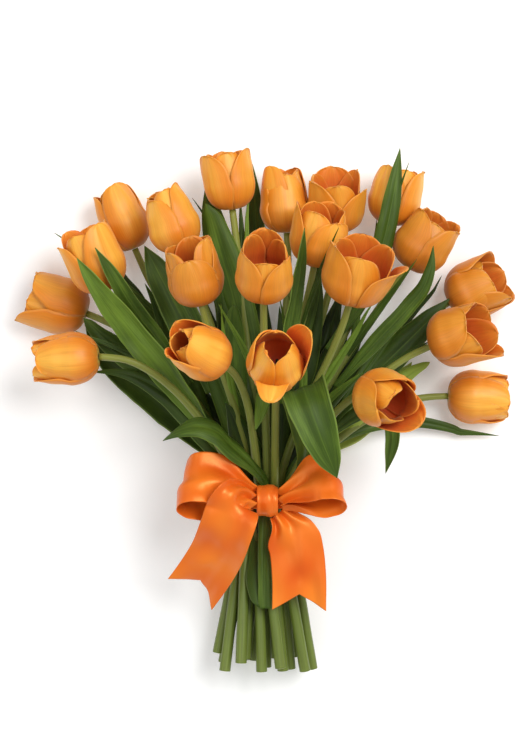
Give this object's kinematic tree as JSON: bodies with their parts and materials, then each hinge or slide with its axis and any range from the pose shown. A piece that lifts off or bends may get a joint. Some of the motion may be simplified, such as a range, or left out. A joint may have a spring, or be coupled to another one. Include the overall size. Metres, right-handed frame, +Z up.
{
  "type": "tulip bouquet",
  "caption": "Hand-tied bunch of cut tulips with leaves, held by a satin ribbon tied in a bow, lying on its back.",
  "frame": {"origin": "middle of the bunch's footprint, on the surface that it lies on", "axes": "+Y from the cut stem ends towards the flowers, +Z up, away from the surface and out of the bow's front, +X to the right when looking down on it with the flowers at the top"},
  "size_m": [0.4326, 0.4528, 0.2038],
  "materials": {
    "petal": "soft satin petal skin, orange",
    "stem": "waxy satin stem skin, yellow green",
    "leaf": "waxy satin leaf skin, deep green",
    "ribbon": "satin weave, orange"
  },
  "bodies": {
    "root": {"leaf_arch": "leaf", "leaf_front": "leaf", "leaf_hanging": "leaf", "leaf_leftInner": "leaf", "leaf_leftLong": "leaf", "leaf_leftSecond": "leaf", "leaf_lime": "leaf", "leaf_lowerLeft": "leaf", "leaf_middle": "leaf", "leaf_rightUpper": "leaf", "leaf_rightWide": "leaf", "leaf_top": "leaf", "leaf_topLeft": "leaf", "leaf_topRight": "leaf", "ribbon_band": "ribbon", "ribbon_knot": "ribbon", "ribbon_loop_left": "ribbon", "ribbon_loop_right": "ribbon", "ribbon_tail_left": "ribbon", "ribbon_tail_right": "ribbon", "tulip_01_flower": "petal", "tulip_01_stem": "stem", "tulip_02_flower": "petal", "tulip_02_stem": "stem", "tulip_03_flower": "petal", "tulip_03_stem": "stem", "tulip_04_flower": "petal", "tulip_04_stem": "stem", "tulip_05_flower": "petal", "tulip_05_stem": "stem", "tulip_06_flower": "petal", "tulip_06_stem": "stem", "tulip_07_flower": "petal", "tulip_07_stem": "stem", "tulip_08_flower": "petal", "tulip_08_stem": "stem", "tulip_09_flower": "petal", "tulip_09_stem": "stem", "tulip_10_flower": "petal", "tulip_10_stem": "stem", "tulip_11_flower": "petal", "tulip_11_stem": "stem", "tulip_12_flower": "petal", "tulip_12_stem": "stem", "tulip_13_flower": "petal", "tulip_13_stem": "stem", "tulip_14_flower": "petal", "tulip_14_stem": "stem", "tulip_15_flower": "petal", "tulip_15_stem": "stem", "tulip_16_flower": "petal", "tulip_16_stem": "stem", "tulip_17_flower": "petal", "tulip_17_stem": "stem", "tulip_18_flower": "petal", "tulip_18_stem": "stem", "tulip_19_flower": "petal", "tulip_19_stem": "stem", "tulip_20_flower": "petal", "tulip_20_stem": "stem"}
  },
  "joints": []
}
